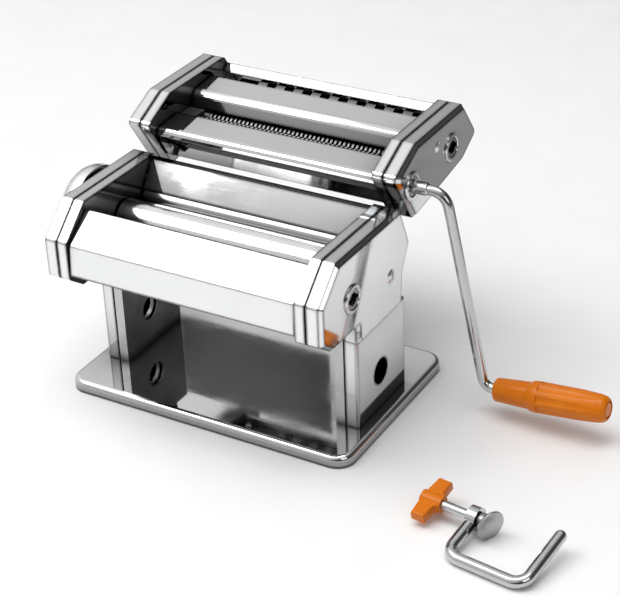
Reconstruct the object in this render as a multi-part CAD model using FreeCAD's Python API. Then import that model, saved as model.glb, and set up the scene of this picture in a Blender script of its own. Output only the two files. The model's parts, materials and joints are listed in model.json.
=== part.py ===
import FreeCAD, Part
import math
import os

from FreeCAD import Vector

# Manual pasta roller machine with a lift-off double cutter, crank and table clamp.
# Millimetres. Origin at table level under the middle of the base.
# +X runs along the rollers towards the crank, +Y to the back, +Z up.
# Points written as pairs are (y, z) in the side view unless a comment says otherwise.

# ---- driving dimensions -------------------------------------------------------------
BASE_W = 200.0
BASE_D = 132.0
BASE_CORNER_R = 12.0
BASE_TOP = 8.0
BASE_RIM_Z = 0.8
BASE_SHEET = 1.2

WALL_X = 77.3          # inner face of each end, seen from the rollers
SEAM_X = 84.0          # seam between the inner shell and the outer cover
SEAM_GAP = 0.9         # open seam left between two pressings
FACE_X = 95.0          # outer face of the covers
BEVEL = 2.5            # bevel round the outer face of a cover
COVER_SHEET = 1.0
SHELL_SHEET = 1.2
FRAME_X0 = 79.0        # structural frame plate
FRAME_X1 = 81.5
GUIDE_HALF = 76.9      # half length of the sheet pieces between the ends

BODY_OUTLINE = [(-58, 134), (17, 133), (24, 117), (28, 107), (19, 91), (17, 69),
                (-37, 69), (-37, 82), (-67, 82), (-79, 91), (-79, 115)]
CUTTER_OUTLINE = [(12, 153), (38, 165), (101, 165), (119.5, 140), (99, 128), (34, 118)]

ROLLER_R = 12.5
ROLLER_Z = 105.0
ROLLER_HALF = 76.6
JOURNAL_R = 5.0
RUN_FIT = 0.03         # radial clearance of a shaft in its bush
PINION_Y = -44.4
FRONT_ROLLER_Y = PINION_Y + 25.2
WIDEST_GAP = 2.8
NARROWEST_GAP = 0.6
REAR_ROLLER_Y = FRONT_ROLLER_Y + 2 * ROLLER_R + WIDEST_GAP
GAP_TRAVEL = WIDEST_GAP - NARROWEST_GAP

GEAR_TEETH = 20
GEAR_TIP = 14.1        # long teeth stay in mesh over the whole gap travel
GEAR_ROOT = 10.9
GEAR_X0 = 85.0
GEAR_X1 = 91.0

DIAL_Y = FRONT_ROLLER_Y
DIAL_Z = ROLLER_Z
DIAL_TURN = 300.0      # degrees from the widest to the narrowest setting
DIAL_R = 29.0
DIAL_HEAD_X = -113.0    # inner face of the spindle's head
SPRING_R = 6.6
SPRING_WIRE_R = 0.45
SPRING_PITCH = 2.3
SPRING_TURNS = 1.7
CAM_PIN_RADIUS = 9.5   # cam pin's distance from the dial axis at the widest setting
CAM_PIN_R = 1.5
CAM_GROOVE_R = 1.6
INDEX_HOLES = 9
INDEX_RADIUS = 20.0

STAND_X0 = 75.5
STAND_SEAM_X = 81.5
STAND_X1 = 91.0
STAND_Y0 = -33.0
STAND_Y1 = 27.0
STAND_TOP = 68.0
CLAMP_HOLE = (-4.8, 33.2)
CLAMP_HOLE_R = 8.4

SOCKET_BORE_R = 4.05
SOCKET_DEPTH = 12.0
SOCKET_FACE_X = 95.8
HUB_R = 6.0
CROSS_SLOT_W = 2.9
CROSS_SLOT_DEPTH = 3.6

CUTTER_R = 10.0        # cutting rings
GROOVE_R = 7.8
CUTTER_SPACING = 18.0
CUTTER_HALF = 64.5
FINE_PITCH = 3.0
WIDE_PITCH = 13.0
FINE_PINION = (30.0, 142.0)
FINE_FRONT = (45.7, 138.4)
FINE_REAR_DROP = 2.5
FINE_REAR = (FINE_FRONT[0] + math.sqrt(CUTTER_SPACING ** 2 - FINE_REAR_DROP ** 2),
             FINE_FRONT[1] - FINE_REAR_DROP)
WIDE_FRONT = (82.0, 144.5)
WIDE_REAR = (WIDE_FRONT[0] + CUTTER_SPACING, WIDE_FRONT[1])
CUTTER_GEAR_TEETH = 18
FINE_PINION_TEETH = 14

ROD_R = 3.25
CRANK_BEND = (117.0, 142.0)       # (x, z) of the bend at the top of the arm
CRANK_ELBOW = (143.2, 16.5)       # (x, z) of the bend into the handle
HANDLE_TILT = 5.4                 # degrees above level
GRIP_START = 8.0

CLAMP_AT = (189.5, -81.1, 9.4)    # threaded boss of the table clamp
CLAMP_HEADING = -7.0
CLAMP_TILT = 11.0
CLAMP_ROD_R = 3.6
CLAMP_ARM = 30.0
CLAMP_SPAN = 48.0
CLAMP_TIP = 10.0
CLAMP_SCREW_R = 3.0
PAD_R = 9.2
PAD_LOLL = 20.0         # degrees that the loose cup tips towards the jaw

TIE_ROD_R = 3.0
BODY_TIE_RODS = [(-66.0, 98.0), (14.5, 121.5), (6.0, 79.0)]
COVER_RIVET = (2.2, 95.5)
RAIL_RIVET = (20.2, 103.0)
RAIL_OUTLINE = [(17.6, 93.5), (18.9, 93.5), (25.6, 105.4), (38, 110), (38, 133), (32, 133),
                (32, 114.5), (17.6, 112.5)]
BLOCK_BACK = 9.0       # bearing block, from the roller's axis
BLOCK_FRONT = 12.0
BLOCK_Z0 = 83.0
BLOCK_Z1 = 113.0

CUTTER_WEB = 2.0
CUTTER_TIE_ROD_R = 2.5
CUTTER_TIE_RODS = [(31.5, 131.0), (70.5, 151.5)]
CUTTER_RIVET = (63.3, 152.4)

AXIS_X = Vector(1, 0, 0)


# ---- general helpers ----------------------------------------------------------------
def at_x(x, point):
    """A (y, z) point as a vector in the plane at x."""
    return Vector(x, point[0], point[1])


def cylinder_x(point, radius, x0, x1):
    """Round bar along X between x0 and x1."""
    return Part.makeCylinder(radius, x1 - x0, at_x(x0, point), AXIS_X)


def ring_x(point, outer, inner, x0, x1):
    return cylinder_x(point, outer, x0, x1).cut(cylinder_x(point, inner, x0 - 1, x1 + 1))


def block(x0, x1, y0, y1, z0, z1):
    return Part.makeBox(x1 - x0, y1 - y0, z1 - z0, Vector(x0, y0, z0))


def prism_x(points, x0, x1):
    """Flat outline of (y, z) points, extruded from x0 to x1."""
    corners = [at_x(x0, p) for p in points]
    face = Part.Face(Part.makePolygon(corners + corners[:1]))
    return face.extrude(Vector(x1 - x0, 0, 0))


def unit(dx, dy):
    length = math.hypot(dx, dy)
    return dx / length, dy / length


def inset(points, distance):
    """The outline moved inwards by distance; points run clockwise in the side view."""
    moved = []
    count = len(points)
    for i in range(count):
        before, here, after = points[i - 1], points[i], points[(i + 1) % count]
        ax, ay = unit(here[0] - before[0], here[1] - before[1])
        bx, by = unit(after[0] - here[0], after[1] - here[1])
        nx, ny = ay + by, -(ax + bx)
        scale = distance * 2.0 / (nx * nx + ny * ny)
        moved.append((here[0] + nx * scale, here[1] + ny * scale))
    return moved


def rounded_wire_x(points, x, radius):
    """Closed outline in the plane at x, with every corner rounded."""
    count = len(points)
    corners = []
    for i in range(count):
        before, here, after = points[i - 1], points[i], points[(i + 1) % count]
        ax, ay = unit(before[0] - here[0], before[1] - here[1])
        bx, by = unit(after[0] - here[0], after[1] - here[1])
        half = math.acos(ax * bx + ay * by) / 2.0
        reach = radius / math.tan(half)
        mx, my = unit(ax + bx, ay + by)
        depth = radius / math.sin(half) - radius
        corners.append((at_x(x, (here[0] + ax * reach, here[1] + ay * reach)),
                        at_x(x, (here[0] + mx * depth, here[1] + my * depth)),
                        at_x(x, (here[0] + bx * reach, here[1] + by * reach))))
    edges = []
    for i in range(count):
        start, middle, end = corners[i]
        edges.append(Part.Arc(start, middle, end).toShape())
        edges.append(Part.LineSegment(end, corners[(i + 1) % count][0]).toShape())
    return Part.Wire(edges)


def rounded_prism_x(points, x0, x1, radius):
    """As prism_x, with every corner rounded."""
    return Part.Face(rounded_wire_x(points, x0, radius)).extrude(Vector(x1 - x0, 0, 0))


def bevelled_prism_x(points, x0, x1, radius, bevel):
    """As rounded_prism_x, with a bevel round the face at x1."""
    body = rounded_prism_x(points, x0, x1 - bevel, radius)
    wires = [rounded_wire_x(points, x1 - bevel, radius),
             rounded_wire_x(inset(points, bevel), x1, radius)]
    return body.fuse(Part.makeLoft(wires, True, True)).removeSplitter()


def sheet_x(path, thickness, x0, x1):
    """Bent sheet: a (y, z) path thickened to its right-hand side, run from x0 to x1."""
    count = len(path)
    other = []
    for i in range(count):
        before = path[max(i - 1, 0)]
        here = path[i]
        after = path[min(i + 1, count - 1)]
        first = (before, here) if i > 0 else (here, after)
        second = (here, after) if i < count - 1 else (before, here)
        ax, ay = unit(first[1][0] - first[0][0], first[1][1] - first[0][1])
        bx, by = unit(second[1][0] - second[0][0], second[1][1] - second[0][1])
        nx, ny = ay + by, -(ax + bx)
        scale = thickness * 2.0 / (nx * nx + ny * ny)
        other.append((here[0] + nx * scale, here[1] + ny * scale))
    return prism_x(path + other[::-1], x0, x1)


def revolved_x(profile, point):
    """Turned piece: a closed (x, r) profile revolved about the X line through point."""
    corners = [Vector(x, point[0], point[1] + r) for x, r in profile]
    face = Part.Face(Part.makePolygon(corners + corners[:1]))
    return face.revolve(at_x(0, point), AXIS_X, 360)


def mirrored(shape):
    """The same piece at the other end of the machine."""
    return shape.mirror(Vector(0, 0, 0), AXIS_X)


def swept_rod(points, bend_radii, radius):
    """Round rod through straight runs joined by tangent arcs, one radius to a bend."""
    edges = []
    start = points[0]
    for i in range(1, len(points) - 1):
        corner = points[i]
        bend_radius = bend_radii[i - 1]
        back = (points[i - 1] - corner).normalize()
        ahead = (points[i + 1] - corner).normalize()
        half = back.getAngle(ahead) / 2.0
        reach = bend_radius / math.tan(half)
        middle = (back + ahead).normalize() * (bend_radius / math.sin(half) - bend_radius)
        arc_start = corner + back * reach
        arc_end = corner + ahead * reach
        edges.append(Part.LineSegment(start, arc_start).toShape())
        edges.append(Part.Arc(arc_start, corner + middle, arc_end).toShape())
        start = arc_end
    edges.append(Part.LineSegment(start, points[-1]).toShape())
    path = Part.Wire(edges)
    circle = Part.Wire(Part.makeCircle(radius, points[0], points[1] - points[0]))
    return path.makePipeShell([circle], True, False)


def group(shapes):
    return Part.makeCompound(shapes)


# ---- gears --------------------------------------------------------------------------
def gear(point, teeth, tip, root, tooth_at, x0, x1, bore):
    """Spur gear about X; tooth_at is the angle of one tooth from +Y towards +Z."""
    step = 360.0 / teeth
    outline = []
    for i in range(teeth):
        middle = tooth_at + i * step
        for radius, share in ((root, -0.31), (tip, -0.10), (tip, 0.10), (root, 0.31)):
            angle = math.radians(middle + share * step)
            outline.append((point[0] + radius * math.cos(angle),
                            point[1] + radius * math.sin(angle)))
    return prism_x(outline, x0, x1).cut(cylinder_x(point, bore, x0 - 1, x1 + 1))


def meshed_tooth(tooth_at, teeth, towards, other_teeth):
    """Angle of a tooth on the gear that meshes in the direction towards."""
    step = 360.0 / teeth
    offset = (towards - tooth_at) % step
    return towards + 180.0 + offset * teeth / other_teeth + 180.0 / other_teeth


def direction(a, b):
    return math.degrees(math.atan2(b[1] - a[1], b[0] - a[0]))


# ---- base and stand -----------------------------------------------------------------
def rounded_slab(width, depth, corner, z0, z1):
    slab = block(-width / 2, width / 2, -depth / 2, depth / 2, z0, z1)
    uprights = [e for e in slab.Edges if abs(e.tangentAt(e.FirstParameter).z) > 0.99]
    return slab.makeFillet(corner, uprights)


def base_plate():
    """Pressed tray: a flat top with a rolled rim, open underneath."""
    outer = rounded_slab(BASE_W, BASE_D, BASE_CORNER_R, BASE_RIM_Z, BASE_TOP)
    top_edges = [e for e in outer.Edges if all(abs(v.Z - BASE_TOP) < 0.01 for v in e.Vertexes)]
    outer = outer.makeFillet(3.5, top_edges)
    inner = rounded_slab(BASE_W - 2 * BASE_SHEET, BASE_D - 2 * BASE_SHEET,
                         BASE_CORNER_R - BASE_SHEET, BASE_RIM_Z - 1, BASE_TOP - BASE_SHEET)
    top_edges = [e for e in inner.Edges
                 if all(abs(v.Z - (BASE_TOP - BASE_SHEET)) < 0.01 for v in e.Vertexes)]
    inner = inner.makeFillet(2.3, top_edges)
    tray = outer.cut(inner)
    for x, y in stand_screw_places():
        tray = tray.cut(Part.makeCylinder(1.6, 20, Vector(x, y, 0)))
    return tray


def stand_screw_places():
    return [(side * 85.5, y) for side in (-1, 1) for y in (-24.0, 18.0)]


def rubber_feet():
    feet = []
    for x in (-84, 84):
        for y in (-50, 50):
            foot = Part.makeCone(8.0, 9.0, BASE_TOP - BASE_SHEET, Vector(x, y, 0))
            feet.append(foot.cut(Part.makeCylinder(3.0, 2.0, Vector(x, y, 0))))
    return group(feet)


def stand_screws():
    """Screws up through the base into the feet of the frame plates."""
    screws = []
    head_top = BASE_TOP - BASE_SHEET
    for x, y in stand_screw_places():
        head = Part.makeCone(3.4, 2.6, 2.0, Vector(x, y, head_top - 2.0))
        head = head.cut(block(x - 0.4, x + 0.4, y - 4, y + 4, head_top - 2.1, head_top - 1.2))
        screws.append(head.fuse(Part.makeCylinder(1.55, 4.4, Vector(x, y, head_top))))
    return group(screws)


def frame_plate():
    """Steel side plate with the bearings, its leg and the foot it stands on."""
    outline = inset(BODY_OUTLINE, SHELL_SHEET + 0.3)
    plate = rounded_prism_x(outline, FRAME_X0, FRAME_X1, 2.5)
    leg = block(STAND_X0, STAND_SEAM_X, STAND_Y0, STAND_Y1, BASE_TOP, STAND_TOP)
    leg = leg.cut(block(STAND_X0 + 1.5, STAND_SEAM_X + 1, STAND_Y0 + 1.5, STAND_Y1 - 1.5,
                        BASE_TOP + 1.5, STAND_TOP + 1))
    foot = block(STAND_X0 + 1, 89.4, STAND_Y0 + 1.6, STAND_Y1 - 1.6, BASE_TOP, BASE_TOP + 1.5)
    web = block(FRAME_X0, FRAME_X1, -31.5, 15.0, BASE_TOP + 1.5, 71.0)
    plate = plate.fuse([leg, foot, web]).removeSplitter()
    holes = [cylinder_x(CLAMP_HOLE, CLAMP_HOLE_R, 60, 100),
             cylinder_x((PINION_Y, ROLLER_Z), 8.0, 78, 83),
             cylinder_x((REAR_ROLLER_Y, ROLLER_Z), 8.0, 78, 83),
             carriage_window(78, 83)]
    holes += [cylinder_x(p, TIE_ROD_R - 1.0, 78, 83) for p in BODY_TIE_RODS]
    holes.append(cylinder_x(RAIL_RIVET, 1.6, 78, 83))
    holes += [Part.makeCylinder(1.55, 8, Vector(x, y, 6)) for x, y in stand_screw_places() if x > 0]
    return plate.cut(holes)


def stand_cover():
    """Thin pressed cap over the outside of the leg."""
    outer = block(STAND_SEAM_X + SEAM_GAP, STAND_X1, STAND_Y0, STAND_Y1, BASE_TOP, STAND_TOP)
    corners = [e for e in outer.Edges
               if abs(e.tangentAt(e.FirstParameter).z) > 0.99 and e.Vertexes[0].X > 90]
    outer = outer.makeFillet(1.6, corners)
    inner = block(STAND_SEAM_X - 1, STAND_X1 - COVER_SHEET, STAND_Y0 + COVER_SHEET,
                  STAND_Y1 - COVER_SHEET, BASE_TOP - 1, STAND_TOP - COVER_SHEET)
    slot = block(STAND_SEAM_X - 1, FRAME_X1 + 0.1, -31.6, 15.1, STAND_TOP - 2, STAND_TOP + 1)
    return outer.cut([inner, slot, cylinder_x(CLAMP_HOLE, CLAMP_HOLE_R, 80, 100)])


# ---- body shells and covers ---------------------------------------------------------


def carriage_window(x0, x1):
    """Window in which a bearing block slides as the gap closes."""
    return block(x0, x1, FRONT_ROLLER_Y - BLOCK_BACK - 0.1,
                 FRONT_ROLLER_Y + BLOCK_FRONT + GAP_TRAVEL + 0.1, BLOCK_Z0 - 0.05, BLOCK_Z1 + 0.05)


def end_shell(outline, web):
    """Inner half of an end: a web towards the rollers and a rim out to the seam."""
    outer = rounded_prism_x(outline, WALL_X, SEAM_X, 3.0)
    inner = rounded_prism_x(inset(outline, SHELL_SHEET), WALL_X + web, SEAM_X + 1, 1.8)
    return outer.cut(inner)


def end_cover(outline):
    """Outer half of an end: a bevelled pressed cap."""
    outer = bevelled_prism_x(outline, SEAM_X + SEAM_GAP, FACE_X, 3.0, BEVEL)
    cavity = bevelled_prism_x(inset(outline, COVER_SHEET), SEAM_X - 1, FACE_X - COVER_SHEET,
                              2.0, BEVEL)
    return outer.cut(cavity)


def inner_shell():
    shell = end_shell(BODY_OUTLINE, SHELL_SHEET)
    holes = [cylinder_x((PINION_Y, ROLLER_Z), 8.6, 76, 79),
             cylinder_x((REAR_ROLLER_Y, ROLLER_Z), 9.4, 76, 79),
             carriage_window(76, 79),
             block(78, 85, -31.7, 15.2, 66, 71),
             block(81.2, 83.8, 16, 40, 103.6, 116)]
    holes += [cylinder_x(p, TIE_ROD_R + 0.2, 76, 79) for p in BODY_TIE_RODS]
    return shell.cut(holes)


def right_cover():
    cover = end_cover(BODY_OUTLINE)
    return cover.cut([cylinder_x((PINION_Y, ROLLER_Z), 7.0, 90, 100),
                      cylinder_x(COVER_RIVET, 2.0, 90, 100)])


def left_cover():
    """Dial-side cover with the dial's stop pin riveted into it."""
    cover = end_cover(BODY_OUTLINE)
    cover = cover.cut([cylinder_x((DIAL_Y, DIAL_Z), 5.1, 90, 100),
                       cylinder_x(COVER_RIVET, 2.0, 90, 100)])
    stop = (DIAL_Y, DIAL_Z + INDEX_RADIUS)
    pin = cylinder_x(stop, 1.5, FACE_X - COVER_SHEET, 100.5)
    collar = cylinder_x(stop, 2.6, FACE_X, FACE_X + 1.0)
    return mirrored(cover.fuse([pin, collar]).removeSplitter())


def slotted_rivet(point, radius):
    """Domed rivet through a cover face, slotted on the outside and flared inside."""
    centre = at_x(FACE_X, point)
    dome = Part.makeSphere(radius * 1.6, centre - Vector(radius * 1.25, 0, 0))
    head = dome.common(cylinder_x(point, radius, FACE_X, FACE_X + 3))
    shank = cylinder_x(point, 1.95, FACE_X - COVER_SHEET, FACE_X)
    tail = cylinder_x(point, 3.0, FACE_X - COVER_SHEET - 0.6, FACE_X - COVER_SHEET)
    rivet = head.fuse([shank, tail]).removeSplitter()
    slot = block(FACE_X + 0.6, FACE_X + 4, point[0] - 0.5, point[0] + 0.5,
                 point[1] - radius, point[1] + radius)
    return rivet.cut(slot)


def cover_rivets():
    rivet = slotted_rivet(COVER_RIVET, 4.5)
    return group([rivet, mirrored(rivet)])


def socket_ring(point):
    """Bright collar round a crank socket, pressed into the cover."""
    outer = ring_x(point, 8.8, HUB_R + 0.3, FACE_X, FACE_X + 1.4)
    rim = [e for e in outer.Edges if abs(e.Vertexes[0].X - FACE_X - 1.4) < 0.01]
    outer = outer.makeChamfer(0.5, rim)
    return outer.fuse(ring_x(point, 6.98, HUB_R + 0.3, FACE_X - COVER_SHEET, FACE_X)).removeSplitter()


def front_panel():
    """Bent front sheet: skirt, sloping face and the lip turned in above the rollers."""
    path = [(-78.4, 93.7), (-77.1, 113.7), (-57.4, 128.5), (-36.5, 114.4)]
    return sheet_x(path, 1.0, -GUIDE_HALF, GUIDE_HALF)


def rear_guide_plate():
    """Sloping sheet that guides the dough down onto the rear roller."""
    path = [(0.4, 115.8), (12.4, 130.9), (17.0, 130.9), (19.4, 125.5)]
    return sheet_x(path, 1.0, -GUIDE_HALF, GUIDE_HALF)


def tie_rods(places, radius, shoulder_x, plate_x):
    """Spacer rods with reduced ends that are peened over outside the side plates."""
    rods = []
    for place in places:
        rod = cylinder_x(place, radius, -shoulder_x, shoulder_x)
        ends = cylinder_x(place, radius - 1.0, -plate_x, plate_x)
        right_head = cylinder_x(place, radius - 0.3, plate_x, plate_x + 1.2)
        rods.append(rod.fuse([ends, right_head, mirrored(right_head)]).removeSplitter())
    return group(rods)


def roller_scrapers():
    """Spring-steel blades that keep dough off the undersides of the rollers."""
    front = sheet_x([(-40.0, 82.5), (-27.8, 95.1)], 0.8, -GUIDE_HALF, GUIDE_HALF)
    rear = sheet_x([(17.6, 94.6), (15.6, 80.0)], 0.8, -GUIDE_HALF, GUIDE_HALF)
    return group([front, rear])


def shaft_bush(point, journal, outer, x0, x1):
    return ring_x(point, outer, journal + RUN_FIT, x0, x1)


def roller_bushes():
    rear = shaft_bush((REAR_ROLLER_Y, ROLLER_Z), JOURNAL_R, 8.0, 77.6, 83.5)
    pinion = shaft_bush((PINION_Y, ROLLER_Z), JOURNAL_R, 8.0, 77.6, 83.5)
    return group([rear, mirrored(rear), pinion])


def attachment_rails():
    """Upright tabs behind the body that the cutter unit drops onto."""
    rail = prism_x(RAIL_OUTLINE, 81.5, 83.5)
    rivet = cylinder_x(RAIL_RIVET, 1.58, FRAME_X0, 82.0)
    rivet_head = cylinder_x(RAIL_RIVET, 2.4, 83.5, 84.3)
    rail = rail.fuse([rivet, rivet_head]).removeSplitter()
    return group([rail, mirrored(rail)])


# ---- roller drive -------------------------------------------------------------------
def socket_hub(point, x0):
    """Hollow hub with a blind crank bore and a cross slot in its mouth."""
    hub = cylinder_x(point, HUB_R, x0, SOCKET_FACE_X)
    bore = cylinder_x(point, SOCKET_BORE_R, SOCKET_FACE_X - SOCKET_DEPTH, SOCKET_FACE_X + 1)
    slot = block(SOCKET_FACE_X - CROSS_SLOT_DEPTH, SOCKET_FACE_X + 1,
                 point[0] - HUB_R - 1, point[0] + HUB_R + 1,
                 point[1] - CROSS_SLOT_W / 2, point[1] + CROSS_SLOT_W / 2)
    return hub, [bore, slot]


PINION_TOOTH = 0.0
FRONT_TOOTH = meshed_tooth(PINION_TOOTH, GEAR_TEETH, 0.0, GEAR_TEETH)
REAR_TOOTH = meshed_tooth(FRONT_TOOTH, GEAR_TEETH, 0.0, GEAR_TEETH)


def drive_pinion():
    point = (PINION_Y, ROLLER_Z)
    hub, cuts = socket_hub(point, GEAR_X0 - 1)
    shaft = cylinder_x(point, JOURNAL_R, 77.6, GEAR_X0)
    teeth = gear(point, GEAR_TEETH, GEAR_TIP, GEAR_ROOT, PINION_TOOTH, GEAR_X0, GEAR_X1, 2.0)
    return teeth.fuse([hub, shaft]).removeSplitter().cut(cuts)


def smooth_roller(point):
    profile = [(-83.4, 0), (-83.4, JOURNAL_R), (-ROLLER_HALF, JOURNAL_R),
               (-ROLLER_HALF, ROLLER_R - 0.5), (-ROLLER_HALF + 0.5, ROLLER_R),
               (ROLLER_HALF - 0.5, ROLLER_R), (ROLLER_HALF, ROLLER_R - 0.5),
               (ROLLER_HALF, JOURNAL_R), (GEAR_X1 + 1.0, JOURNAL_R), (GEAR_X1 + 1.0, 0)]
    return revolved_x(profile, point)


def roller_gear(y, tooth_at):
    return gear((y, ROLLER_Z), GEAR_TEETH, GEAR_TIP, GEAR_ROOT, tooth_at,
                GEAR_X0, GEAR_X1, JOURNAL_R)


# ---- adjustable roller carriage and dial --------------------------------------------
def bearing_block():
    body = block(77.6, 83.4, FRONT_ROLLER_Y - BLOCK_BACK, FRONT_ROLLER_Y + BLOCK_FRONT,
                 BLOCK_Z0, BLOCK_Z1)
    flange = block(82.0, 83.4, FRONT_ROLLER_Y - BLOCK_BACK - 1.5,
                   FRONT_ROLLER_Y + BLOCK_FRONT, BLOCK_Z0 - 2.0, BLOCK_Z1 + 2.0)
    bore = cylinder_x((FRONT_ROLLER_Y, ROLLER_Z), JOURNAL_R + RUN_FIT, 70, 90)
    return body.fuse(flange).removeSplitter().cut(bore)


def bearing_blocks():
    """The two sliding blocks; the left one carries the pin that the dial cam moves."""
    right = bearing_block()
    pin = cylinder_x((FRONT_ROLLER_Y + CAM_PIN_RADIUS, ROLLER_Z), CAM_PIN_R, 83.0, 87.4)
    left = mirrored(right.fuse(pin).removeSplitter())
    return group([left, right])


def carriage_tie_bar():
    """Bar under the front roller that makes both blocks move together."""
    bar = block(-77.6, 77.6, FRONT_ROLLER_Y - 5.0, FRONT_ROLLER_Y + 1.0, 84.0, 88.0)
    return bar.makeChamfer(0.6, [e for e in bar.Edges if e.Length > 100])


def scroll_groove():
    """Spiral groove: its radius grows evenly with the dial's turn."""
    steps = 40
    outer = []
    inner = []
    lead_in = 13.0
    for i in range(steps + 1):
        turn = -lead_in + (DIAL_TURN + 2 * lead_in) * i / steps
        radius = CAM_PIN_RADIUS + GAP_TRAVEL * turn / DIAL_TURN
        angle = math.radians(turn)
        for edge, side in ((outer, 1), (inner, -1)):
            r = radius + side * CAM_GROOVE_R
            edge.append(Vector(-84.0, DIAL_Y + r * math.cos(angle), DIAL_Z + r * math.sin(angle)))
    curves = []
    for points in (outer, inner):
        curve = Part.BSplineCurve()
        curve.interpolate(points)
        curves.append(curve.toShape())
    ends = [Part.LineSegment(inner[0], outer[0]).toShape(),
            Part.LineSegment(inner[-1], outer[-1]).toShape()]
    wire = Part.Wire([ends[0], curves[0], ends[1], curves[1]])
    return Part.Face(wire).extrude(Vector(-3.8, 0, 0))


def dial_cam():
    """Spindle of the gap dial with the scroll cam at its inner end."""
    point = (DIAL_Y, DIAL_Z)
    disc = cylinder_x(point, 15.0, -89.5, -85.0)
    spindle = cylinder_x(point, 5.0, DIAL_HEAD_X - 0.5, -89.5)
    flat = block(-112.0, -98.0, DIAL_Y - 6, DIAL_Y + 6, DIAL_Z + 4.0, DIAL_Z + 6)
    head = cylinder_x(point, 8.0, DIAL_HEAD_X - 1.5, DIAL_HEAD_X)
    cam = disc.fuse(spindle.cut(flat)).fuse(head).removeSplitter()
    return cam.cut(scroll_groove())


def domed_cap(radius, height, base_x, rim_x, point):
    """Solid cap about X: an elliptical dome towards -X on a short straight rim."""
    steps = 12
    outline = [Vector(base_x - height * math.cos(math.pi / 2 * i / steps), 0,
                      radius * math.sin(math.pi / 2 * i / steps)) for i in range(steps + 1)]
    curve = Part.BSplineCurve()
    curve.interpolate(outline, InitialTangent=Vector(0, 0, 1), FinalTangent=AXIS_X)
    corners = [outline[-1], Vector(rim_x, 0, radius), Vector(rim_x, 0, 0), outline[0]]
    sides = [Part.LineSegment(corners[i], corners[i + 1]).toShape() for i in range(3)]
    face = Part.Face(Part.Wire([curve.toShape()] + sides))
    cap = face.revolve(Vector(0, 0, 0), AXIS_X, 360)
    cap.translate(at_x(0, point))
    return cap


def dial_knob():
    """Domed knob; its web carries the ring of index holes and slides on the spindle."""
    point = (DIAL_Y, DIAL_Z)
    inner_r = DIAL_R - 1.4
    body = domed_cap(DIAL_R, 17.0, -100.5, -97.0, point)
    body = body.cut(domed_cap(inner_r, 15.6, -100.5, -96.0, point))
    web = cylinder_x(point, inner_r - 0.1, -103.0, -101.0)
    web = web.fuse(cylinder_x(point, inner_r + 0.3, -102.2, -101.0))
    hub = cylinder_x(point, 8.5, -104.0, -98.0)
    body = body.fuse([web, hub]).removeSplitter()
    bore = cylinder_x(point, 5.05, -105, -95)
    bore = bore.cut(block(-106, -94, DIAL_Y - 6, DIAL_Y + 6, DIAL_Z + 4.05, DIAL_Z + 7))
    holes = [bore]
    for i in range(INDEX_HOLES):
        angle = math.radians(90.0 + i * DIAL_TURN / (INDEX_HOLES - 1))
        place = (DIAL_Y + INDEX_RADIUS * math.cos(angle), DIAL_Z + INDEX_RADIUS * math.sin(angle))
        holes.append(cylinder_x(place, 1.9, -104, -100))
    return body.cut(holes)


def dial_spring():
    """Coil spring under the spindle's head, at the length it has with the knob pulled out."""
    coil = Part.makeHelix(SPRING_PITCH, SPRING_TURNS * SPRING_PITCH, SPRING_R)
    start = Vector(SPRING_R, 0, 0)
    profile = Part.Wire(Part.makeCircle(SPRING_WIRE_R, start, Vector(0, 1, 0)))
    spring = Part.Wire(coil).makePipeShell([profile], True, True)
    spring.rotate(Vector(0, 0, 0), Vector(0, 1, 0), -90)
    spring.translate(Vector(DIAL_HEAD_X + SPRING_TURNS * SPRING_PITCH + SPRING_WIRE_R + 0.05, DIAL_Y, DIAL_Z))
    return spring


# ---- cutter unit --------------------------------------------------------------------
def cutter_shafts():
    return [FINE_FRONT, FINE_REAR, WIDE_FRONT, WIDE_REAR]


def cutter_end_plate(right):
    shell = end_shell(CUTTER_OUTLINE, CUTTER_WEB)
    holes = [cylinder_x(p, 6.0, 76, 80) for p in cutter_shafts()]
    if right:
        holes.append(cylinder_x(FINE_PINION, 6.0, 76, 80))
    holes += [cylinder_x(p, CUTTER_TIE_ROD_R - 1.0, 76, 80) for p in CUTTER_TIE_RODS]
    holes.append(block(81.2, 83.8, 31.7, 38.3, 115, 134))
    shell = shell.cut(holes)
    return shell if right else mirrored(shell)


def cutter_cover(right):
    cover = end_cover(CUTTER_OUTLINE)
    holes = [cylinder_x(CUTTER_RIVET, 2.0, 90, 100)]
    if right:
        holes += [cylinder_x(p, 7.0, 90, 100) for p in (FINE_PINION, WIDE_FRONT)]
    cover = cover.cut(holes)
    return cover if right else mirrored(cover)


def cutter_rivets():
    rivet = slotted_rivet(CUTTER_RIVET, 3.2)
    return group([rivet, mirrored(rivet)])


def cutter_bushes():
    bushes = []
    for place in cutter_shafts():
        bush = shaft_bush(place, 4.0, 6.0, 77.2, 82.5)
        bushes += [bush, mirrored(bush)]
    bushes.append(shaft_bush(FINE_PINION, 4.5, 6.0, 77.2, 82.5))
    return group(bushes)


def cutter_rear_guide():
    path = [(98.8, 155.9), (103.4, 160.4), (116.1, 143.2)]
    return sheet_x(path, 1.0, -GUIDE_HALF, GUIDE_HALF)


def cutter_middle_cap():
    """Bent cap between the two feed slits."""
    nose = [(59.5, 146.9)]
    for i in range(7):
        angle = math.radians(160 - i * 12)
        nose.append((67.6 + 6.4 * math.cos(angle), 150.9 + 6.4 * math.sin(angle)))
    path = nose + [(84.0, 158.7), (88.2, 155.6)]
    return sheet_x(path, 1.0, -GUIDE_HALF, GUIDE_HALF)


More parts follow.
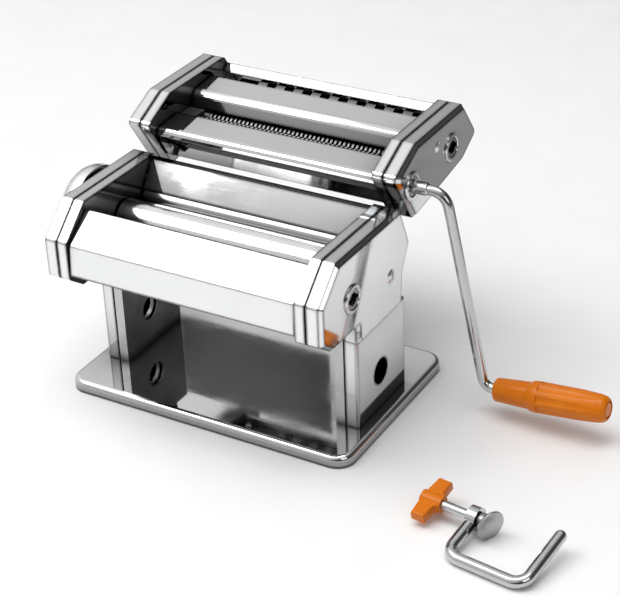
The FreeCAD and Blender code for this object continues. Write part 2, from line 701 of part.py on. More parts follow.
def cutter_front_guide():
    """Front sheet: face, rolled lip and the guide that runs back to the fine cutter."""
    path = [(29.5, 127.0), (22.3, 138.5)]
    for i in range(6):
        angle = math.radians(215 - i * 26)
        path.append((24.4 + 4.2 * math.cos(angle), 144.2 + 4.2 * math.sin(angle)))
    path.append((43.7, 149.6))
    return sheet_x(path, 1.0, -GUIDE_HALF, GUIDE_HALF)


def cutter_cheeks():
    """Moulded end guides that keep the dough clear of the fine cutter's bearings."""
    outline = [(36.0, 140.0), (36.0, 147.6), (58.0, 147.6), (58.0, 140.0)]
    body = prism_x(outline, 66.0, GUIDE_HALF)
    cheek = body.cut([cylinder_x(p, 6.5, 60, 80) for p in (FINE_FRONT, FINE_REAR)])
    return group([cheek, mirrored(cheek)])


def cutter_roller(point, pitch, offset, shaft_end=90.5):
    """Grooved cutter: rings of half a pitch, with room for the mating rings between."""
    ring_half = pitch / 4.0 - 0.1
    profile = [(-82.0, 0), (-82.0, 4.0), (-CUTTER_HALF, 4.0), (-CUTTER_HALF, GROOVE_R)]
    count = int(CUTTER_HALF / pitch)
    for i in range(-count, count + 1):
        middle = i * pitch + offset
        if abs(middle) + ring_half < CUTTER_HALF - 0.2:
            profile += [(middle - ring_half, GROOVE_R), (middle - ring_half, CUTTER_R),
                        (middle + ring_half, CUTTER_R), (middle + ring_half, GROOVE_R)]
    profile += [(CUTTER_HALF, GROOVE_R), (CUTTER_HALF, 4.0), (shaft_end, 4.0), (shaft_end, 0)]
    return revolved_x(profile, point)


def comb(point, pitch, offset, angle):
    """Stripper comb: teeth reach into the grooves from the given direction."""
    ring_half = pitch / 4.0 - 0.1
    slot_half = ring_half + 0.3
    tip = GROOVE_R + 0.5
    ring_line = CUTTER_R + 0.6
    back = CUTTER_R + 1.8
    outline = [(-CUTTER_HALF, back), (-CUTTER_HALF, tip)]
    count = int(CUTTER_HALF / pitch)
    for i in range(-count, count + 1):
        middle = i * pitch + offset
        if abs(middle) + slot_half < CUTTER_HALF - 0.1:
            outline += [(middle - slot_half, tip), (middle - slot_half, ring_line),
                        (middle + slot_half, ring_line), (middle + slot_half, tip)]
    outline += [(CUTTER_HALF, tip), (CUTTER_HALF, back)]
    corners = [Vector(x, r, -0.6) for x, r in outline]
    plate = Part.Face(Part.makePolygon(corners + corners[:1])).extrude(Vector(0, 0, 1.2))
    bar = block(-GUIDE_HALF, GUIDE_HALF, back, back + 2.6, -1.5, 1.5)
    plate = plate.fuse(bar).removeSplitter()
    plate.rotate(Vector(0, 0, 0), AXIS_X, angle)
    plate.translate(at_x(0, point))
    return plate


def fine_combs():
    return group([comb(FINE_FRONT, FINE_PITCH, 0.0, 250.0),
                  comb(FINE_REAR, FINE_PITCH, FINE_PITCH / 2, 330.0)])


def wide_combs():
    return group([comb(WIDE_FRONT, WIDE_PITCH, 0.0, 290.0),
                  comb(WIDE_REAR, WIDE_PITCH, WIDE_PITCH / 2, 270.0)])


def cutter_gear(point, tooth_at, bore=4.0):
    return gear(point, CUTTER_GEAR_TEETH, 9.95, 7.75, tooth_at, GEAR_X0, 90.0, bore)


FINE_PINION_TOOTH = direction(FINE_PINION, FINE_FRONT)
FINE_FRONT_TOOTH = meshed_tooth(FINE_PINION_TOOTH, FINE_PINION_TEETH,
                                direction(FINE_PINION, FINE_FRONT), CUTTER_GEAR_TEETH)
FINE_REAR_TOOTH = meshed_tooth(FINE_FRONT_TOOTH, CUTTER_GEAR_TEETH,
                               direction(FINE_FRONT, FINE_REAR), CUTTER_GEAR_TEETH)
WIDE_REAR_TOOTH = meshed_tooth(0.0, CUTTER_GEAR_TEETH, 0.0, CUTTER_GEAR_TEETH)


def fine_pinion():
    hub, cuts = socket_hub(FINE_PINION, 84.5)
    shaft = cylinder_x(FINE_PINION, 4.5, 77.2, GEAR_X0)
    teeth = gear(FINE_PINION, FINE_PINION_TEETH, 7.95, 6.1, FINE_PINION_TOOTH, GEAR_X0, 90.0, 1.0)
    return teeth.fuse([hub, shaft]).removeSplitter().cut(cuts)


def wide_front_cutter():
    """Wide cutter whose shaft ends in the rear crank socket."""
    hub, cuts = socket_hub(WIDE_FRONT, 82.7)
    roller = cutter_roller(WIDE_FRONT, WIDE_PITCH, 0.0, 83.0)
    return roller.fuse(hub).removeSplitter().cut(cuts)


# ---- crank --------------------------------------------------------------------------
CRANK_Y = FINE_PINION[0]
HANDLE_DIR = Vector(math.cos(math.radians(HANDLE_TILT)), 0, math.sin(math.radians(HANDLE_TILT)))
ELBOW = Vector(CRANK_ELBOW[0], CRANK_Y, CRANK_ELBOW[1])


def on_handle(distance):
    return ELBOW + HANDLE_DIR * distance


def crank_rod():
    """Bent steel rod from the drive end, down the arm and through the grip."""
    points = [Vector(97.0, CRANK_Y, FINE_PINION[1]),
              Vector(CRANK_BEND[0], CRANK_Y, CRANK_BEND[1]), ELBOW, on_handle(GRIP_START + 70.0)]
    rod = swept_rod(points, [11.0, 7.0], ROD_R)
    sleeve = cylinder_x(FINE_PINION, 4.0, 84.4, 106.0)
    rim = [e for e in sleeve.Edges if abs(e.Vertexes[0].X - 106.0) < 0.01]
    sleeve = sleeve.makeChamfer(0.6, rim)
    rod = rod.fuse(sleeve).removeSplitter()
    return rod.cut(crank_cross_pin())


def crank_cross_pin():
    """Pin that drives the socket through its cross slot."""
    return Part.makeCylinder(1.3, 11.6, Vector(94.2, CRANK_Y - 5.8, FINE_PINION[1]),
                             Vector(0, 1, 0))


def handle_grip():
    """Moulded grip, free to turn on the rod."""
    profile = [(GRIP_START, 3.35), (GRIP_START, 6.6), (GRIP_START + 0.8, 7.3), (30.0, 8.3),
               (32.0, 9.3), (34.0, 9.6), (62.0, 9.3), (74.0, 8.7), (77.5, 8.0), (79.2, 7.0),
               (80.0, 5.6), (75.5, 5.6), (75.5, 3.35)]
    grip = revolved_x(profile, (0, 0))
    for i in range(8):
        flute = Part.makeCylinder(6.0, 36.0, Vector(37.0, 0, 14.7), AXIS_X)
        flute.rotate(Vector(0, 0, 0), AXIS_X, 22.5 + i * 45.0)
        grip = grip.cut(flute)
    return placed_on_handle(grip)


def placed_on_handle(shape):
    shape.rotate(Vector(0, 0, 0), Vector(0, 1, 0), -HANDLE_TILT)
    shape.translate(ELBOW)
    return shape


def grip_end_cap():
    """Washer fixed on the rod's end; it keeps the grip on."""
    cap = revolved_x([(75.8, ROD_R), (75.8, 5.2), (79.0, 5.2), (79.8, 4.0), (79.8, 0),
                      (78.0, 0), (78.0, ROD_R)], (0, 0))
    return placed_on_handle(cap)


# ---- table clamp --------------------------------------------------------------------
def placed_clamp(shape):
    """From the clamp's own frame (screw along X, jaw towards -Y) to where it lies."""
    shape.rotate(Vector(0, 0, 0), AXIS_X, CLAMP_TILT)
    shape.rotate(Vector(0, 0, 0), Vector(0, 0, 1), CLAMP_HEADING)
    shape.translate(Vector(*CLAMP_AT))
    return shape


def clamp_frame():
    """Rod bent to a C with a threaded boss at one end and a locking notch at the other."""
    points = [Vector(0, -5, 0), Vector(0, -CLAMP_ARM, 0), Vector(CLAMP_SPAN, -CLAMP_ARM, 0),
              Vector(CLAMP_SPAN, CLAMP_TIP, 0)]
    rod = swept_rod(points, [8.0, 8.0], CLAMP_ROD_R)
    tip = Part.makeSphere(CLAMP_ROD_R, points[-1])
    boss = cylinder_x((0, 0), 6.8, -3.0, 3.0)
    frame = rod.fuse([tip, boss]).removeSplitter()
    notch = Part.makeCylinder(4.0, 12, Vector(CLAMP_SPAN - 5.8, -7.0, -6), Vector(0, 0, 1))
    bore = cylinder_x((0, 0), CLAMP_SCREW_R + 0.05, -6, 6)
    return placed_clamp(frame.cut([notch, bore]))


def clamp_screw():
    """Screw with a collar behind the pad and a squared end in the wing knob."""
    screw = cylinder_x((0, 0), CLAMP_SCREW_R, -31.0, 5.6)
    return placed_clamp(screw.makeChamfer(0.4, [e for e in screw.Edges if e.Length < 20][:1]))


def clamp_pad():
    """Collar on the screw's end, with the cup that presses under the table lolling on it."""
    bore_r = CLAMP_SCREW_R + 0.05
    collar = revolved_x([(3.8, bore_r), (3.8, 4.6), (8.2, 4.6), (8.2, 0), (5.9, 0), (5.9, bore_r)],
                        (0, 0))
    cup = revolved_x([(7.6, 0), (7.6, 4.2), (9.8, 8.8), (10.7, PAD_R), (11.3, 8.9), (9.0, 2.5),
                      (8.5, 0)], (0, 0))
    cup.rotate(Vector(7.6, 0, 0), Vector(0, 0, 1), -PAD_LOLL)
    return placed_clamp(collar.fuse(cup).removeSplitter())


def wing_knob():
    """Moulded two-winged knob on the screw's outer end."""
    wing = [(-32.5, -15.0), (-24.0, -15.0), (-23.5, -5.5), (-22.0, -4.5), (-22.0, 4.5),
            (-23.5, 5.5), (-24.0, 15.0), (-32.5, 15.0), (-33.5, 4.5), (-33.5, -4.5)]
    corners = [Vector(x, y, -3.3) for x, y in wing]
    plate = Part.Face(Part.makePolygon(corners + corners[:1])).extrude(Vector(0, 0, 6.6))
    plate = plate.makeFillet(1.2, [e for e in plate.Edges if abs(e.tangentAt(0).z) < 0.5])
    hub = cylinder_x((0, 0), 4.8, -34.0, -21.0)
    knob = plate.fuse(hub).removeSplitter().cut(cylinder_x((0, 0), CLAMP_SCREW_R, -31.0, -20))
    return placed_clamp(knob)


# ---- write one file per piece -------------------------------------------------------
def pieces():
    plate = frame_plate()
    stand = stand_cover()
    shell = inner_shell()
    return {
        "base_plate": base_plate(),
        "rubber_feet": rubber_feet(),
        "stand_screws": stand_screws(),
        "left_frame_plate": mirrored(plate),
        "right_frame_plate": plate,
        "left_stand_cover": mirrored(stand),
        "right_stand_cover": stand,
        "left_inner_shell": mirrored(shell),
        "right_inner_shell": shell,
        "left_cover": left_cover(),
        "right_cover": right_cover(),
        "cover_rivets": cover_rivets(),
        "socket_ring": socket_ring((PINION_Y, ROLLER_Z)),
        "front_panel": front_panel(),
        "rear_guide_plate": rear_guide_plate(),
        "tie_rods": tie_rods(BODY_TIE_RODS, TIE_ROD_R, FRAME_X0, FRAME_X1),
        "roller_scrapers": roller_scrapers(),
        "roller_bushes": roller_bushes(),
        "attachment_rails": attachment_rails(),
        "drive_pinion": drive_pinion(),
        "front_roller": smooth_roller((FRONT_ROLLER_Y, ROLLER_Z)),
        "front_roller_gear": roller_gear(FRONT_ROLLER_Y, FRONT_TOOTH),
        "rear_roller": smooth_roller((REAR_ROLLER_Y, ROLLER_Z)),
        "rear_roller_gear": roller_gear(REAR_ROLLER_Y, REAR_TOOTH),
        "bearing_blocks": bearing_blocks(),
        "carriage_tie_bar": carriage_tie_bar(),
        "dial_cam": dial_cam(),
        "dial_knob": dial_knob(),
        "dial_spring": dial_spring(),
        "cutter_left_end_plate": cutter_end_plate(False),
        "cutter_right_end_plate": cutter_end_plate(True),
        "cutter_left_cover": cutter_cover(False),
        "cutter_right_cover": cutter_cover(True),
        "cutter_rivets": cutter_rivets(),
        "cutter_socket_rings": group([socket_ring(FINE_PINION), socket_ring(WIDE_FRONT)]),
        "cutter_rear_guide": cutter_rear_guide(),
        "cutter_middle_cap": cutter_middle_cap(),
        "cutter_front_guide": cutter_front_guide(),
        "cutter_cheeks": cutter_cheeks(),
        "cutter_tie_rods": tie_rods(CUTTER_TIE_RODS, CUTTER_TIE_ROD_R, WALL_X, WALL_X + CUTTER_WEB),
        "cutter_bushes": cutter_bushes(),
        "fine_combs": fine_combs(),
        "wide_combs": wide_combs(),
        "fine_pinion": fine_pinion(),
        "fine_front_cutter": cutter_roller(FINE_FRONT, FINE_PITCH, 0.0),
        "fine_rear_cutter": cutter_roller(FINE_REAR, FINE_PITCH, FINE_PITCH / 2),
        "fine_front_gear": cutter_gear(FINE_FRONT, FINE_FRONT_TOOTH),
        "fine_rear_gear": cutter_gear(FINE_REAR, FINE_REAR_TOOTH),
        "wide_front_cutter": wide_front_cutter(),
        "wide_rear_cutter": cutter_roller(WIDE_REAR, WIDE_PITCH, WIDE_PITCH / 2),
        "wide_front_gear": cutter_gear(WIDE_FRONT, 0.0, HUB_R),
        "wide_rear_gear": cutter_gear(WIDE_REAR, WIDE_REAR_TOOTH),
        "crank_rod": crank_rod(),
        "crank_cross_pin": crank_cross_pin(),
        "handle_grip": handle_grip(),
        "grip_end_cap": grip_end_cap(),
        "clamp_frame": clamp_frame(),
        "clamp_screw": clamp_screw(),
        "clamp_pad": clamp_pad(),
        "wing_knob": wing_knob(),
    }


os.makedirs("parts", exist_ok=True)
for name, shape in pieces().items():
    if not shape.isValid() or shape.Volume <= 0:
        print("check", name, shape.isValid(), round(shape.Volume, 1))
    shape.exportStep("parts/" + name + ".step")
    print(name, len(shape.Solids), round(shape.Volume, 1))
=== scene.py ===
import json
import math

import bpy
from mathutils import Matrix, Vector


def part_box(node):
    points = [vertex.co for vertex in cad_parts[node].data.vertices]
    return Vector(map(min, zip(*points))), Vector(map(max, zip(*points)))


# Looks for a hand-cranked pasta machine: bright plated sheet, ground rollers, orange plastic.
# Lengths are metres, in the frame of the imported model.

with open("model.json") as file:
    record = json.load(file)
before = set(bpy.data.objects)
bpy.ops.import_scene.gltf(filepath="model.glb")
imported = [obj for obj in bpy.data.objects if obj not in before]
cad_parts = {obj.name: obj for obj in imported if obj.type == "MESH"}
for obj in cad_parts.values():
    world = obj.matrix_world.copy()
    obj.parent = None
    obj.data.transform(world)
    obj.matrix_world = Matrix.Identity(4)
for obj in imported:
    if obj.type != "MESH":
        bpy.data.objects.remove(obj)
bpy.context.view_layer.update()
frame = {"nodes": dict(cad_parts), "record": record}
NODES = frame["nodes"]

MM = 0.001

# camera: angle round the machine, height, roll about the view line, lens and distance
CAMERA_AZIMUTH = 31.02
CAMERA_ELEVATION = 30.37
CAMERA_ROLL = -2.36
CAMERA_LENS = 104.45
CAMERA_DISTANCE = 1138.07 * MM
CAMERA_AIM_RIGHT = 32.95 * MM
CAMERA_AIM_UP = 49.5 * MM

# studio: the side the room is brightest on, and its grey from the far side round to that one
BRIGHT_SIDE = (-0.55, -0.15, 0.82)
ROOM_SHADES = [(0.0, 0.35), (0.45, 0.05), (0.62, 0.10), (0.72, 0.42), (0.84, 0.78), (1.0, 1.0)]
AIM = (0, 0, 0.1)
FLOOR_SIZE = 8.0

# painted shade: the colour painted into pockets and seams, and the dark line painted along a fold in
# place of its dark reflection
POCKET_SHADE_COLOUR = (0.03, 0.03, 0.032, 1)
FOLD_LINE_SHADE = (0.04, 0.04, 0.042, 1)
FOLD_REACH = 2.4 * MM

# edges: faces closer than the first angle merge, edges sharper than the second are rounded
MERGE_ANGLE = math.radians(1.0)
SHARP_ANGLE = math.radians(35)
SHELL_EDGE = 0.9 * MM
PANEL_EDGE = 0.3 * MM


# ---- material helpers ---------------------------------------------------------------
class Recipe:
    """A material's node tree with short calls for the nodes that the recipes share."""

    def __init__(self, name):
        self.material = bpy.data.materials.new(name)
        self.material.use_nodes = True
        self.tree = self.material.node_tree
        self.shader = self.tree.nodes["Principled BSDF"]
        self.place = self.add("ShaderNodeTexCoord").outputs["Object"]

    def add(self, kind, **settings):
        node = self.tree.nodes.new(kind)
        for key, value in settings.items():
            setattr(node, key, value)
        return node

    def link(self, start, end):
        self.tree.links.new(start, end)

    def stretched(self, scale):
        """Object coordinates scaled per axis, so a noise runs in streaks."""
        mapping = self.add("ShaderNodeMapping")
        mapping.inputs["Scale"].default_value = scale
        self.link(self.place, mapping.inputs["Vector"])
        return mapping.outputs["Vector"]

    def noise(self, scale, detail=4.0, roughness=0.5, vector=None):
        node = self.add("ShaderNodeTexNoise")
        node.inputs["Scale"].default_value = scale
        node.inputs["Detail"].default_value = detail
        node.inputs["Roughness"].default_value = roughness
        self.link(vector or self.place, node.inputs["Vector"])
        return node.outputs["Fac"]

    def spread(self, value, low, high, start=0.35, end=0.65):
        """A noise value mapped from its usual middle range to low..high."""
        node = self.add("ShaderNodeMapRange")
        node.inputs["From Min"].default_value = start
        node.inputs["From Max"].default_value = end
        node.inputs["To Min"].default_value = low
        node.inputs["To Max"].default_value = high
        self.link(value, node.inputs["Value"])
        return node.outputs["Result"]

    def math(self, operation, first, second):
        node = self.add("ShaderNodeMath", operation=operation)
        for socket, value in zip(node.inputs, (first, second)):
            if isinstance(value, (int, float)):
                socket.default_value = value
            else:
                self.link(value, socket)
        return node.outputs[0]

    def colour_mix(self, factor, first, second):
        ramp = self.add("ShaderNodeValToRGB")
        ramp.color_ramp.elements[0].color = (*first, 1)
        ramp.color_ramp.elements[1].color = (*second, 1)
        self.link(factor, ramp.inputs["Fac"])
        return ramp.outputs["Color"]

    def masked(self, mask, dark, colour):
        """The colour where the mask is 1, the dark constant where it is 0."""
        mixer = self.add("ShaderNodeMix", data_type="RGBA")
        self.link(mask, mixer.inputs["Factor"])
        mixer.inputs["A"].default_value = dark
        self.link(colour, mixer.inputs["B"])
        return mixer.outputs["Result"]

    def painted_hollow_shade(self, colour, reach, depth):
        """Paints shade into a colour: darkens it in seams and pockets, where light does not reach."""
        hollow = self.add("ShaderNodeAmbientOcclusion", samples=8)
        hollow.inputs["Distance"].default_value = reach
        shade = self.math("POWER", hollow.outputs["AO"], depth)
        return self.masked(shade, POCKET_SHADE_COLOUR, colour)

    def painted_fold_line(self, colour):
        """Paints a thin dark line along a fold of plated sheet, standing in for the dark reflection
        it shows there.
        """
        softened = self.add("ShaderNodeBevel", samples=6)
        softened.inputs["Radius"].default_value = FOLD_REACH
        true = self.add("ShaderNodeNewGeometry")
        turn = self.add("ShaderNodeVectorMath", operation="DOT_PRODUCT")
        self.link(softened.outputs["Normal"], turn.inputs[0])
        self.link(true.outputs["Normal"], turn.inputs[1])
        line = self.spread(turn.outputs["Value"], 0.0, 1.0, 0.955, 0.998)
        return self.masked(line, FOLD_LINE_SHADE, colour)

    def bump(self, height, strength, distance, under=None):
        node = self.add("ShaderNodeBump")
        node.inputs["Strength"].default_value = strength
        node.inputs["Distance"].default_value = distance
        self.link(height, node.inputs["Height"])
        if under is not None:
            self.link(under, node.inputs["Normal"])
        return node.outputs["Normal"]

    def finish(self, colour=None, roughness=None, normal=None, **constants):
        if colour is not None:
            self.link(colour, self.shader.inputs["Base Color"])
        if roughness is not None:
            self.link(roughness, self.shader.inputs["Roughness"])
        if normal is not None:
            self.link(normal, self.shader.inputs["Normal"])
        for key, value in constants.items():
            self.shader.inputs[key.replace("_", " ")].default_value = value
        return self.material


def chrome_sheet():
    """Mirror-plated pressed sheet: faint smudges, hairline scratches, slight waviness."""
    r = Recipe("chrome_sheet")
    smudge = r.noise(28.0, 5.0, 0.6)
    hairline = r.noise(60.0, 2.0, 0.5, r.stretched((1.0, 14.0, 14.0)))
    rough = r.math("ADD", r.spread(smudge, 0.035, 0.10, 0.42, 0.68),
                   r.spread(hairline, 0.0, 0.035, 0.5, 0.75))
    plate = r.colour_mix(r.noise(9.0, 3.0), (0.76, 0.77, 0.78), (0.86, 0.86, 0.86))
    # painted shade in seams and pockets, and a painted dark reflection line along each fold
    colour = r.painted_fold_line(r.painted_hollow_shade(plate, 0.055, 1.5))
    wave = r.bump(r.noise(14.0, 1.0, 0.3), 0.25, 0.0006)
    normal = r.bump(hairline, 0.06, 0.00005, wave)
    return r.finish(colour, rough, normal, Metallic=1.0)


def roller_chrome():
    """Ground and plated roller: fine rings left by grinding, a trace of haze."""
    r = Recipe("roller_chrome")
    rings = r.noise(900.0, 3.0, 0.6, r.stretched((1.0, 0.02, 0.02)))
    haze = r.noise(35.0, 4.0, 0.6)
    rough = r.math("ADD", r.spread(haze, 0.07, 0.15), r.spread(rings, 0.0, 0.05))
    plate = r.colour_mix(haze, (0.78, 0.79, 0.80), (0.90, 0.90, 0.90))
    # painted shade where the roller sits close behind other parts
    colour = r.painted_hollow_shade(plate, 0.022, 2.2)
    return r.finish(colour, rough, r.bump(rings, 0.12, 0.00003), Metallic=1.0)


def rod_chrome():
    """Bright plated rod with drawn-wire streaks and small handling marks."""
    r = Recipe("rod_chrome")
    marks = r.noise(140.0, 4.0, 0.65)
    rough = r.spread(marks, 0.06, 0.2, 0.4, 0.7)
    colour = r.colour_mix(r.noise(40.0), (0.46, 0.47, 0.48), (0.60, 0.60, 0.60))
    return r.finish(colour, rough, r.bump(marks, 0.08, 0.00006), Metallic=1.0)


def trim_chrome():
    """Small turned trim: tighter machining marks, darker than the sheet."""
    r = Recipe("trim_chrome")
    marks = r.noise(420.0, 3.0, 0.6)
    rough = r.spread(marks, 0.1, 0.26)
    colour = r.colour_mix(marks, (0.58, 0.59, 0.6), (0.76, 0.76, 0.76))
    return r.finish(colour, rough, r.bump(marks, 0.1, 0.00004), Metallic=1.0)


def spun_chrome(centre):
    """Spun cap: rings about the dial's axis under a soft polish."""
    r = Recipe("satin_chrome")
    shift = r.add("ShaderNodeVectorMath", operation="SUBTRACT")
    shift.inputs[1].default_value = centre
    r.link(r.place, shift.inputs[0])
    flat = r.add("ShaderNodeVectorMath", operation="MULTIPLY")
    flat.inputs[1].default_value = (0.0, 1.0, 1.0)
    r.link(shift.outputs[0], flat.inputs[0])
    length = r.add("ShaderNodeVectorMath", operation="LENGTH")
    r.link(flat.outputs[0], length.inputs[0])
    radius = r.add("ShaderNodeCombineXYZ")
    r.link(length.outputs["Value"], radius.inputs["X"])
    rings = r.noise(1500.0, 3.0, 0.6, radius.outputs[0])
    haze = r.noise(30.0, 4.0)
    rough = r.math("ADD", r.spread(haze, 0.14, 0.22), r.spread(rings, 0.0, 0.08))
    colour = r.colour_mix(haze, (0.84, 0.84, 0.85), (0.92, 0.92, 0.92))
    return r.finish(colour, rough, r.bump(rings, 0.18, 0.00004), Metallic=1.0)


def plated_steel():
    """Zinc-plated structural steel with a soft crystalline mottle."""
    r = Recipe("plated_steel")
    cells = r.add("ShaderNodeTexVoronoi")
    cells.inputs["Scale"].default_value = 260.0
    r.link(r.place, cells.inputs["Vector"])
    grain = r.noise(70.0, 5.0, 0.6)
    rough = r.math("ADD", r.spread(grain, 0.24, 0.38),
                   r.spread(cells.outputs["Distance"], 0.0, 0.06, 0.0, 0.6))
    plate = r.colour_mix(grain, (0.42, 0.43, 0.44), (0.62, 0.62, 0.61))
    # painted shade in small pockets and seams
    colour = r.painted_hollow_shade(plate, 0.007, 2.2)
    return r.finish(colour, rough, r.bump(grain, 0.1, 0.0001), Metallic=1.0)


def gear_steel():
    """Hobbed gear steel with a film of grease."""
    r = Recipe("gear_steel")
    cut = r.noise(300.0, 3.0, 0.6, r.stretched((6.0, 1.0, 1.0)))
    film = r.noise(55.0, 4.0, 0.6)
    colour = r.colour_mix(film, (0.2, 0.19, 0.18), (0.46, 0.46, 0.46))
    return r.finish(colour, r.spread(cut, 0.22, 0.42), r.bump(cut, 0.2, 0.00008), Metallic=1.0)


def cutter_steel():
    """Turned cutter rollers and combs, nickel plated."""
    r = Recipe("cutter_steel")
    turned = r.noise(700.0, 3.0, 0.6, r.stretched((1.0, 0.05, 0.05)))
    film = r.noise(45.0, 4.0, 0.5)
    rough = r.math("ADD", r.spread(film, 0.12, 0.22), r.spread(turned, 0.0, 0.08))
    plate = r.colour_mix(film, (0.20, 0.20, 0.21), (0.36, 0.36, 0.35))
    # painted shade deep in the slits and between the combs
    colour = r.painted_hollow_shade(plate, 0.03, 3.0)
    return r.finish(colour, rough, r.bump(turned, 0.15, 0.00004), Metallic=1.0)


def nylon():
    """Moulded nylon bushes."""
    r = Recipe("bush_nylon")
    grain = r.noise(320.0, 4.0, 0.6)
    colour = r.colour_mix(r.noise(50.0), (0.66, 0.64, 0.57), (0.8, 0.78, 0.72))
    return r.finish(colour, r.spread(grain, 0.4, 0.58), r.bump(grain, 0.2, 0.00006))


def dark_plastic():
    """Black moulded guides with a fine spark-eroded grain."""
    r = Recipe("dark_plastic")
    grain = r.noise(900.0, 3.0, 0.6)
    colour = r.colour_mix(r.noise(60.0), (0.012, 0.012, 0.014), (0.035, 0.035, 0.038))
    return r.finish(colour, r.spread(grain, 0.32, 0.5), r.bump(grain, 0.25, 0.00005))


def orange_plastic():
    """Glossy orange moulding: flow tint, light orange peel, scuffs from the hand."""
    r = Recipe("orange_plastic")
    flow = r.noise(26.0, 4.0, 0.55)
    peel = r.noise(420.0, 2.0, 0.5)
    scuff = r.noise(120.0, 6.0, 0.7, r.stretched((0.5, 2.0, 2.0)))
    rough = r.math("ADD", r.spread(flow, 0.2, 0.27), r.spread(scuff, 0.0, 0.16, 0.55, 0.8))
    colour = r.colour_mix(r.spread(flow, 0.0, 1.0), (0.60, 0.145, 0.001), (0.70, 0.19, 0.002))
    return r.finish(colour, rough, r.bump(peel, 0.12, 0.00008), Specular_IOR_Level=0.22)


def black_rubber():
    """Moulded rubber feet, dusty in the pores."""
    r = Recipe("black_rubber")
    pores = r.noise(500.0, 5.0, 0.7)
    colour = r.colour_mix(r.noise(90.0), (0.012, 0.012, 0.012), (0.04, 0.038, 0.035))
    return r.finish(colour, r.spread(pores, 0.6, 0.85), r.bump(pores, 0.4, 0.0001))


# ---- carried-over nodes -------------------------------------------------------------
def centre_of(node):
    low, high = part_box(node)
    return (low + high) / 2


def dress_nodes():
    """Gives every CAD node the material of its slot."""
    made = {
        "chrome_sheet": chrome_sheet(),
        "roller_chrome": roller_chrome(),
        "rod_chrome": rod_chrome(),
        "trim_chrome": trim_chrome(),
        "satin_chrome": spun_chrome(centre_of("dial_knob")),
        "plated_steel": plated_steel(),
        "gear_steel": gear_steel(),
        "cutter_steel": cutter_steel(),
        "bush_nylon": nylon(),
        "dark_plastic": dark_plastic(),
        "orange_plastic": orange_plastic(),
        "black_rubber": black_rubber(),
    }
    for part in frame["record"]["subparts"]:
        node = NODES[part["node"]]
        material = made[part["material_slot"]]
        if not node.material_slots:
            node.data.materials.append(material)
        for slot in node.material_slots:
            slot.material = material


def soften_edges(names, width):
    """Small rounded edges, which catch the light as pressed and moulded edges do."""
    for name in names:
        merge = NODES[name].modifiers.new("flat", "DECIMATE")
        merge.decimate_type = "DISSOLVE"
        merge.angle_limit = MERGE_ANGLE
        bevel = NODES[name].modifiers.new("edge", "BEVEL")
        bevel.width = width
        bevel.segments = 3
        bevel.limit_method = "ANGLE"
        bevel.angle_limit = SHARP_ANGLE
        bevel.harden_normals = True


def both_sides(*endings):
    return [f"{prefix}{side}_{ending}" for side in ("left", "right") for prefix, ending in endings]


SHELLS = both_sides(("", "cover"), ("", "inner_shell"), ("", "stand_cover"),
                    ("cutter_", "cover"), ("cutter_", "end_plate"))
PANELS = ["front_panel", "rear_guide_plate", "cutter_rear_guide", "cutter_middle_cap",
          "cutter_front_guide"]
dress_nodes()
soften_edges(SHELLS, SHELL_EDGE)
soften_edges(PANELS, PANEL_EDGE)


# ---- stage --------------------------------------------------------------------------
def stage_sheet(name, corner, along, across, material):
    """A flat rectangle from one corner and its two sides."""
    corner, along, across = Vector(corner), Vector(along), Vector(across)
    mesh = bpy.data.meshes.new(name)
    corners = [corner, corner + along, corner + along + across, corner + across]
    mesh.from_pydata(corners, [], [(0, 1, 2, 3)])
    mesh.materials.append(material)
    sheet = bpy.data.objects.new(name, mesh)
    bpy.context.scene.collection.objects.link(sheet)
    return sheet


def pale_floor():
    r = Recipe("floor")
    grain = r.noise(30.0, 4.0)
    colour = r.colour_mix(grain, (0.83, 0.83, 0.83), (0.86, 0.86, 0.86))
    material = r.finish(colour, r.spread(grain, 0.45, 0.55), r.bump(grain, 0.02, 0.0002))
    stage_sheet("floor", (-FLOOR_SIZE / 2, -FLOOR_SIZE / 2, 0), (FLOOR_SIZE, 0, 0),
                (0, FLOOR_SIZE, 0), material)


def softbox(name, place, width, height, power):
    light = bpy.data.lights.new(name, "AREA")
    light.shape = "RECTANGLE"
    light.size = width
    light.size_y = height
    light.energy = power
    lamp = bpy.data.objects.new(name, light)
    lamp.location = place
    lamp.rotation_euler = (Vector(AIM) - Vector(place)).to_track_quat("-Z", "Y").to_euler()
    bpy.context.scene.collection.objects.link(lamp)


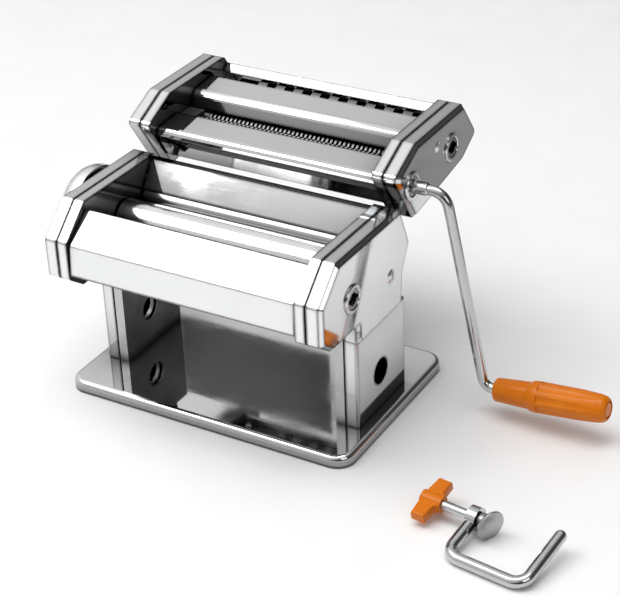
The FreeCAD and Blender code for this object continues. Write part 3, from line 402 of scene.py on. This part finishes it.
def studio_world():
    """A pale room, bright on one side and dark towards the horizon behind the machine."""
    world = bpy.data.worlds.new("studio")
    world.use_nodes = True
    bpy.context.scene.world = world
    tree = world.node_tree
    background = tree.nodes["Background"]
    coordinates = tree.nodes.new("ShaderNodeTexCoord")
    tilt = tree.nodes.new("ShaderNodeVectorMath")
    tilt.operation = "DOT_PRODUCT"
    tilt.inputs[1].default_value = Vector(BRIGHT_SIDE).normalized()
    ramp = tree.nodes.new("ShaderNodeValToRGB")
    span = tree.nodes.new("ShaderNodeMapRange")
    span.inputs["From Min"].default_value = -1.0
    tree.links.new(coordinates.outputs["Generated"], tilt.inputs[0])
    tree.links.new(tilt.outputs["Value"], span.inputs["Value"])
    tree.links.new(span.outputs["Result"], ramp.inputs["Fac"])
    points = ramp.color_ramp.elements
    while len(points) < len(ROOM_SHADES):
        points.new(0.5)
    for point, (position, level) in zip(points, ROOM_SHADES):
        point.position = position
        point.color = (level, level, level, 1)
    tree.links.new(ramp.outputs["Color"], background.inputs["Color"])


def reflection_only_card(name, corner, along, across, darkest, lightest):
    """A dark card that only polished metal sees: a painted dark reflection, hidden from the camera
    and casting no shadow.
    """
    r = Recipe(name)
    felt = r.noise(40.0)
    colour = r.colour_mix(felt, (darkest,) * 3, (lightest,) * 3)
    card = stage_sheet(name, corner, along, across, r.finish(colour, r.spread(felt, 0.8, 0.95)))
    card.visible_camera = False
    card.visible_diffuse = False
    card.visible_shadow = False


def camera():
    azimuth = math.radians(CAMERA_AZIMUTH)
    elevation = math.radians(CAMERA_ELEVATION)
    roll = math.radians(CAMERA_ROLL)
    back = Vector((math.sin(azimuth) * math.cos(elevation),
                   -math.cos(azimuth) * math.cos(elevation), math.sin(elevation)))
    level = Vector((math.cos(azimuth), math.sin(azimuth), 0))
    upward = back.cross(level)
    right = level * math.cos(roll) + upward * math.sin(roll)
    up = upward * math.cos(roll) - level * math.sin(roll)
    data = bpy.data.cameras.new("camera")
    data.lens = CAMERA_LENS
    data.sensor_width = 36.0
    data.clip_end = 20.0
    eye = bpy.data.objects.new("camera", data)
    turn = Matrix((right, up, back)).transposed()
    place = right * CAMERA_AIM_RIGHT + up * CAMERA_AIM_UP + back * CAMERA_DISTANCE
    eye.matrix_world = Matrix.Translation(place) @ turn.to_4x4()
    bpy.context.scene.collection.objects.link(eye)
    bpy.context.scene.camera = eye


bpy.context.scene.view_settings.view_transform = "Standard"
pale_floor()
studio_world()
softbox("key", (-0.85, -0.4, 1.45), width=1.1, height=0.9, power=12)
softbox("fill", (1.3, -0.6, 0.9), width=0.8, height=0.8, power=3)
softbox("top", (0.1, -0.1, 1.8), width=1.2, height=0.8, power=11)
# painted dark reflections: two dark cards that only polished metal sees
reflection_only_card("reflection_card_right", (0.12, 0.27, 0.004), (0.58, 0, 0), (0, 0.63, 0), darkest=0.20, lightest=0.28)
reflection_only_card("reflection_card_back", (-0.165, 0.15, 0.095), (0.13, 0, 0), (0, 0, 0.07), darkest=0.05, lightest=0.09)
camera()
